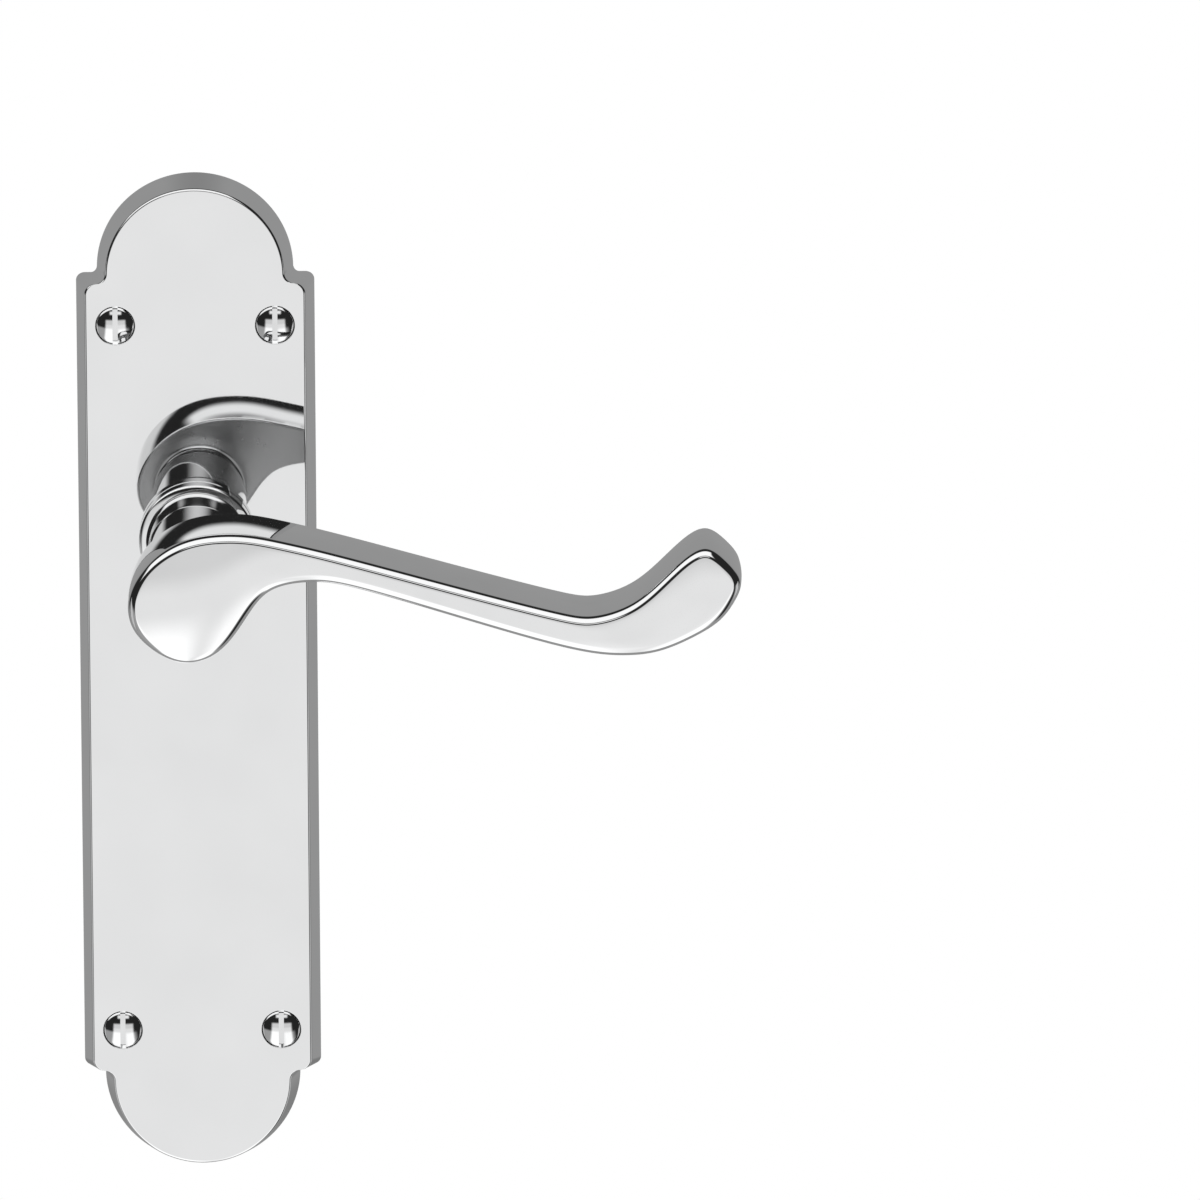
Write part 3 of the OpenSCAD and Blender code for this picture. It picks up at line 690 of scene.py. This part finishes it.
def neck():
    """Neck and spigot in one turning: a sloping shoulder, then the neck, then a fillet where it
    runs into the scroll."""
    swell = 0.12            # eases the shoulder's slope into the neck
    join = 1.0              # how far the turning runs into the scroll
    edge = [(neck_foot_r - neck_edge_r * (1 - math.sin(math.radians(a))),
             neck_end_y - neck_edge_r * (1 - math.cos(math.radians(a)))) for a in range(0, 91, 15)]
    shoulder = [(neck_r + (neck_foot_r - neck_r) * ((1 - t) + swell * t ** 4 * (1 - t)),
                 neck_end_y - neck_edge_r - neck_shoulder * t)
                for t in (i / SHOULDER_STEPS for i in range(1, SHOULDER_STEPS + 1))]
    taper_y = lever_back_y + neck_taper
    waist_y = lever_back_y + neck_fillet
    taper = []
    for i in range(1, TAPER_STEPS + 1):
        t = i / TAPER_STEPS
        ease = t * t * (3 - 2 * t)
        taper.append((neck_r + (neck_waist_r - neck_r) * ease, taper_y + (waist_y - taper_y) * t))
    foot = [(neck_waist_r + neck_fillet * (1 - math.cos(math.radians(a))),
             waist_y - neck_fillet * math.sin(math.radians(a))) for a in range(10, 86, 15)]
    groove_r = spigot_r - groove_depth
    groove_back = circlip_high.y + STACK_GAP
    groove_front = circlip_low.y - STACK_GAP
    profile = ([(spigot_r - spigot_chamfer, 0), (spigot_r, -spigot_chamfer),
                (spigot_r, groove_back), (groove_r, groove_back), (groove_r, groove_front),
                (spigot_r, groove_front), (spigot_r, neck_end_y)]
               + edge + shoulder + [(neck_r, taper_y)] + taper + foot
               + [(neck_waist_r + neck_fillet, lever_back_y - join)])
    return lathe(profile, lever_chrome, steps=TURNED_STEPS)


def lever_handle():
    """Scroll and neck in one piece, with the spindle's socket, the spigot's flats and the grub
    screw's hole."""
    shape = combine(scroll(), [neck()], "UNION")
    flat = drive_flats_w / 2
    reach = spigot_r + OVER
    flats_y = drive_low.y - FLATS_SPARE
    socket = socket_w / 2
    hole_r = (grub_high.x - grub_low.x) / 2 + THREAD_GAP
    hole_top = 3            # inside the socket
    drill = bar(hole_r, grub_y - neck_r - OVER, grub_y - hole_top, lever_chrome, steps=HOLE_STEPS)
    turned(drill, 90, "X", (0, grub_y, 0))
    cutters = [block((flat, flats_y, -reach), (reach, OVER, reach), lever_chrome),
               block((-reach, flats_y, -reach), (-flat, OVER, reach), lever_chrome),
               block((-socket, socket_y, -socket), (socket, OVER, socket), lever_chrome),
               drill]
    combine(shape, cutters, "DIFFERENCE")
    return finished(shape, "lever_finished", TURNING, ["lever_handle"])


# ---- Screws ----

def thread_rows(core_r, crest_r, pitch, y_from, y_to, taper_from=None, per_turn=10):
    """Where a threaded shank's rings go along y, and a function for its radius at any angle and
    y. The shank may taper to a point, and the thread runs in and out over one turn."""
    flank = 0.32            # width of a thread's side, as a share of the pitch
    point_r = 0.15
    bluntness = 1.3
    count = round(abs(y_to - y_from) / pitch * per_turn)
    rows = [y_from + (y_to - y_from) * i / count for i in range(count + 1)]

    def radius(angle, y):
        share = (y / pitch + angle / (2 * math.pi)) % 1.0
        rise = max(0.0, 1 - abs(share - 0.5) / flank)
        fade = min(1.0, abs(y - y_from) / pitch, abs(y_to - y) / pitch)
        body = core_r + (crest_r - core_r) * rise * fade
        if taper_from is not None:
            along = (y - taper_from) / (y_to - taper_from)
            if along > 0:
                body = point_r + (body - point_r) * (1 - along ** bluntness)
        return body

    return rows, radius


def screw_shape(head, rows, radius, centre, steps, material):
    """One closed skin over a head's profile and a threaded shank."""
    angles = [2 * math.pi * k / steps for k in range(steps)]
    rings = [[(centre[0] + r * math.cos(a), y, centre[1] + r * math.sin(a)) for a in angles]
             for r, y in head]
    rings += [[(centre[0] + radius(a, y) * math.cos(a), y, centre[1] + radius(a, y) * math.sin(a))
               for a in angles] for y in rows]
    return loft(rings, material)


def fixing_screw(name):
    """Raised countersunk wood screw: domed head, straight slot, tapering thread."""
    low, high = box_mm(name)
    x, z = middle(name)
    head_r = half_width(name)
    dome = face_y - low.y
    dome_r = (head_r ** 2 + dome ** 2) / (2 * dome)
    cone_y = face_y + head_r - screw_shank_r
    top_r = 0.03            # tiny flat in the dome's middle
    arch = math.asin((head_r - head_lip) / dome_r)
    turns = [arch * i / DOME_STEPS for i in range(DOME_STEPS + 1)]
    cap = [(max(top_r, dome_r * math.sin(a)), low.y + dome_r * (1 - math.cos(a))) for a in turns]
    rim = [(head_r, face_y + head_lip * 0.6), (head_r - head_lip * 0.5, face_y + head_lip * 1.4)]
    shank_y = -0.5          # where the plain shank ends, still inside the plate
    core_y = 0
    thread_y = 0.3
    plain = [(screw_shank_r, cone_y), (screw_shank_r, shank_y), (screw_core_r, core_y)]
    rows, radius = thread_rows(screw_core_r, screw_thread_r, screw_pitch, thread_y, high.y,
                               high.y - screw_point)
    shape = screw_shape(cap + rim + plain, rows, radius, (x, z), SCREW_STEPS, screw_chrome)
    slot = block((x - screw_slot_w / 2, low.y - OVER, z - head_r - OVER),
                 (x + screw_slot_w / 2, face_y + screw_slot_d, z + head_r + OVER), screw_chrome)
    combine(shape, [slot], "DIFFERENCE")
    return finished(shape, name + "_finished", FIXED, [name])


def cover_screw(name):
    """Small countersunk machine screw that holds the spring cover."""
    low, high = box_mm(name)
    z = middle(name)[1]
    head_r = half_width(name)
    top_r = 0.05            # where the flat top's rings begin
    run_out = 0.2           # plain stretch between head and thread
    steepness = 0.9         # height of the head's cone over its width
    head_h = (head_r - cover_thread_r) * steepness
    head = [(top_r, high.y), (head_r - head_lip, high.y), (head_r, high.y - head_lip),
            (cover_thread_r, high.y - head_h)]
    rows, radius = thread_rows(cover_core_r, cover_thread_r, cover_pitch,
                               high.y - head_h - run_out, low.y, per_turn=8)
    shape = screw_shape(head, rows, radius, (0, z), SMALL_STEPS, hardened_steel)
    slot = block((-head_r - OVER, high.y - cover_slot_d, z - cover_slot_w / 2),
                 (head_r + OVER, high.y + OVER, z + cover_slot_w / 2), hardened_steel)
    combine(shape, [slot], "DIFFERENCE")
    return finished(shape, name + "_finished", FIXED, [name])


def grub_screw():
    """Hexagon-socket grub screw that pins the lever to the spindle. It is built along -Y with
    its cup point at the axis, then turned to -Z and moved to its height."""
    r = (grub_high.x - grub_low.x) / 2
    end_y = grub_y - (grub_high.z - grub_low.z)
    cup_r = 0.9
    cup_depth = 0.35
    cup_edge_r = 1.1
    cone_w = 0.8            # of the cone between the cup and the thread
    cone_h = 0.7
    cup = [(cup_r, grub_y - cup_depth), (cup_edge_r, grub_y), (r - cone_w, grub_y)]
    rows, radius = thread_rows(r - grub_thread, r, grub_pitch, grub_y - cone_h, end_y, per_turn=8)
    shape = screw_shape(cup, rows, radius, (0, 0), SMALL_STEPS, hardened_steel)
    key_r = key_w / 2 / math.cos(math.pi / 6)
    hexagon = [(key_r * math.cos(math.pi / 3 * k), key_r * math.sin(math.pi / 3 * k))
               for k in range(6)]
    key = prism(hexagon, end_y + key_depth, end_y - OVER, hardened_steel)
    combine(shape, [key], "DIFFERENCE")
    turned(shape, 90, "X", (0, grub_y, 0))
    shape.data.transform(Matrix.Translation((0, 0, grub_high.z)))
    return finished(shape, "grub_screw_finished", TURNING, ["grub_screw"])


# ---- Spring ----

def spring_route():
    """Inner leg, coil and outer leg, with a small bend between each."""
    def polar(r, angle, y):
        """A point at a radius and an angle round the axis."""
        a = math.radians(angle)
        return np.array([r * math.cos(a), y, r * math.sin(a)])

    turn = 360 * coil_turns
    bend_angle = 4.0        # what each bend takes of the coil, in degrees
    bend_leg = 1.0          # and of the leg
    coil_depth = coil_back_y - coil_front_y
    legs = [i / LEG_STEPS for i in range(LEG_STEPS + 1)]
    inner = [polar(coil_r - drive_leg + (drive_leg - bend_leg) * t, turn, coil_front_y)
             for t in legs]
    coil = [polar(coil_r, turn - bend_angle - (turn - 2 * bend_angle) * t,
                  coil_front_y + coil_depth * t)
            for t in (i / COIL_STEPS for i in range(COIL_STEPS + 1))]
    outer = [polar(coil_r + bend_leg + (anchor_leg - bend_leg) * t, 0, coil_back_y) for t in legs]

    def corner(a, b, c):
        """Points on a bend from a to c with its corner at b."""
        return [(1 - t) ** 2 * a + 2 * t * (1 - t) * b + t * t * c for t in (0.2, 0.4, 0.6, 0.8)]

    return (inner + corner(inner[-1], polar(coil_r, turn, coil_front_y), coil[0]) + coil
            + corner(coil[-1], polar(coil_r, 0, coil_back_y), outer[0]) + outer)


def return_spring():
    """Torsion spring, one end held in the plate and the other in the drive plate."""
    route = spring_route()
    last = len(route) - 1
    end_share = 0.8         # of the wire's radius, at its broken ends
    rings = []
    for i, point in enumerate(route):
        along = route[min(i + 1, last)] - route[max(i - 1, 0)]
        along = along / np.linalg.norm(along)
        side = np.cross(along, (0, 1, 0))
        side = side / np.linalg.norm(side)
        up = np.cross(side, along)
        r = wire_d / 2 * (end_share if i in (0, last) else 1.0)
        rings.append([point + r * (math.cos(a) * side + math.sin(a) * up)
                      for a in (2 * math.pi * k / WIRE_STEPS for k in range(WIRE_STEPS))])
    shape = loft(rings, spring_steel)
    shape = finished(shape, "return_spring_finished", None, ["return_spring"])
    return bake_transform(shape)


# ---- CAD nodes that stay, with soft edges and their finish ----

def keep_node(node, material, edge):
    """Gives a CAD node its finish and a fine broken edge, in millimetres."""
    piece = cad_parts[node]
    piece.data.materials.clear()
    piece.data.materials.append(material)
    for face in piece.data.polygons:
        face.material_index = 0
    piece.modifiers.new("weld", "WELD").merge_threshold = 1e-6
    soft = piece.modifiers.new("edge", "BEVEL")
    soft.width = edge * MM
    soft.segments = 3
    soft.limit_method = "ANGLE"
    soft.angle_limit = math.radians(40)
    soft.harden_normals = True


KEPT = [("bearing_bush", nylon, 0.12), ("neck_washer", nylon, 0.08), ("thrust_washer", nylon, 0.08),
        ("spindle", spindle_steel, 0.4), ("drive_plate", zinc_plate, 0.12),
        ("shim_washer", hardened_steel, 0.06), ("circlip", hardened_steel, 0.08),
        ("stop_pin", hardened_steel, 0.12), ("spring_cover", zinc_plate, 0.1)]

backplate()
neck_collar()
lever_handle()
for screw in fixing_screws:
    fixing_screw(screw)
for screw in cover_screws:
    cover_screw(screw)
grub_screw()
return_spring()
for name, finish, edge_w in KEPT:
    keep_node(name, finish, edge_w)


# ---- Stage ----

# Light cards round the object. Each spans two angles measured from straight down through the
# front to overhead and behind, and two angles to the left and the right of that: (from, to, left,
# right, soft edge, brightness).
CARDS = [
    (8, 79, -24, 24, 3, 0.86),          # pale card in front
    (79, 91, -24, 24, 3, 0.70),         # its duller top
    (5, 69, -45, 0, 4, 0.35),           # its brighter foot, left
    (5, 67, 6, 30, 5, 0.35),            # its brighter foot, right
    (120, 178, -60, 29, 4, 1.10),       # softbox overhead
    (222, 296, -60, 60, 8, 0.30),       # grey wall behind
    (105.2, 113, -14, 14, 2.5, 0.95),   # opening in front
    (300, 370, -70, 70, 8, 0.30),       # pale floor behind
    (-12, 6, -70, 70, 6, 0.30),         # pale floor in front
    (-20, 64, 48, 95, 7, 0.55),         # low card on the right
    (-20, 64, -95, -48, 7, 0.55),       # low card on the left
]
DARK = 0.02                 # brightness between the cards


def light_world():
    """Procedural studio round the object; the camera itself sees plain white."""
    world = bpy.data.worlds.new("studio")
    bpy.context.scene.world = world
    world.use_nodes = True
    nodes = Nodes(world.node_tree)
    way = nodes.add("ShaderNodeTexCoord").outputs["Generated"]
    x, y, z = nodes.add("ShaderNodeSeparateXYZ", {0: way}).outputs
    degrees = 180 / math.pi
    turn = nodes.math("ARCTAN2", nodes.math("MULTIPLY", y, -1.0), nodes.math("MULTIPLY", z, -1.0))
    turn = nodes.math("MULTIPLY", turn, degrees)
    behind = nodes.math("LESS_THAN", turn, 0.0)
    pitch = nodes.math("ADD", turn, nodes.math("MULTIPLY", behind, 360.0))
    side = nodes.math("MULTIPLY", nodes.math("ARCSINE", x), degrees)
    total = None
    for low, high, left, right, soft, level in CARDS:
        rise = nodes.map(pitch, low - soft, low + soft, kind="SMOOTHSTEP")
        fall = nodes.map(pitch, high - soft, high + soft, level, 0.0, kind="SMOOTHSTEP")
        enter = nodes.map(side, left - soft, left + soft, kind="SMOOTHSTEP")
        leave = nodes.map(side, right - soft, right + soft, 1.0, 0.0, kind="SMOOTHSTEP")
        card = nodes.math("MULTIPLY", nodes.math("MULTIPLY", rise, fall),
                          nodes.math("MULTIPLY", enter, leave))
        total = card if total is None else nodes.math("ADD", total, card)
    total = nodes.math("ADD", total, DARK)
    seen = nodes.add("ShaderNodeLightPath").outputs["Is Camera Ray"]
    studio = nodes.add("ShaderNodeBackground", {"Color": total, "Strength": 1.0})
    white = nodes.add("ShaderNodeBackground", {"Color": (1, 1, 1, 1), "Strength": 1.0})
    mixed = nodes.add("ShaderNodeMixShader", {0: seen, 1: studio.outputs[0], 2: white.outputs[0]})
    nodes.add("ShaderNodeOutputWorld", {"Surface": mixed.outputs[0]})


def floor():
    """A plain pale floor below the plate."""
    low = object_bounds()[0]
    size = 3.0
    drop = 0.03
    z = low.z - drop
    corners = [(-size, -size, z), (size, -size, z), (size, size, z), (-size, size, z)]
    mesh = bpy.data.meshes.new("floor")
    mesh.from_pydata(corners, [], [(0, 1, 2, 3)])
    ground = bpy.data.objects.new("floor", mesh)
    bpy.context.scene.collection.objects.link(ground)
    material = bpy.data.materials.new("floor")
    material.use_nodes = True
    nodes = Nodes(material.node_tree)
    shine = nodes.add("ShaderNodeEmission", {"Color": (1, 1, 1, 1), "Strength": 1.0})
    nodes.add("ShaderNodeOutputMaterial", {"Surface": shine.outputs[0]})
    mesh.materials.append(material)
    ground.visible_glossy = False
    ground.visible_diffuse = False
    ground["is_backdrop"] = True


def camera():
    """Long lens, a little above the object, with the handle at the left of the picture."""
    elevation = math.radians(15.8)
    lean = math.radians(0.3)
    distance = 4.0
    picture_w = 0.2093      # width that the picture shows at the aim
    sensor_w = 36
    aim = Vector((0.0702, -0.00908, -0.01087))
    back = Vector((0, -math.cos(elevation), math.sin(elevation)))
    data = bpy.data.cameras.new("camera")
    data.sensor_width = sensor_w
    data.lens = sensor_w * distance / picture_w
    data.clip_start = 0.1
    data.clip_end = 20
    made = bpy.data.objects.new("camera", data)
    bpy.context.scene.collection.objects.link(made)
    made.location = aim + back * distance
    made.rotation_mode = "QUATERNION"
    level = (-back).to_track_quat("-Z", "Y")
    made.rotation_quaternion = Matrix.Rotation(lean, 3, -back).to_quaternion() @ level
    bpy.context.scene.camera = made


light_world()
floor()
camera()
bpy.context.scene.view_settings.view_transform = "Standard"
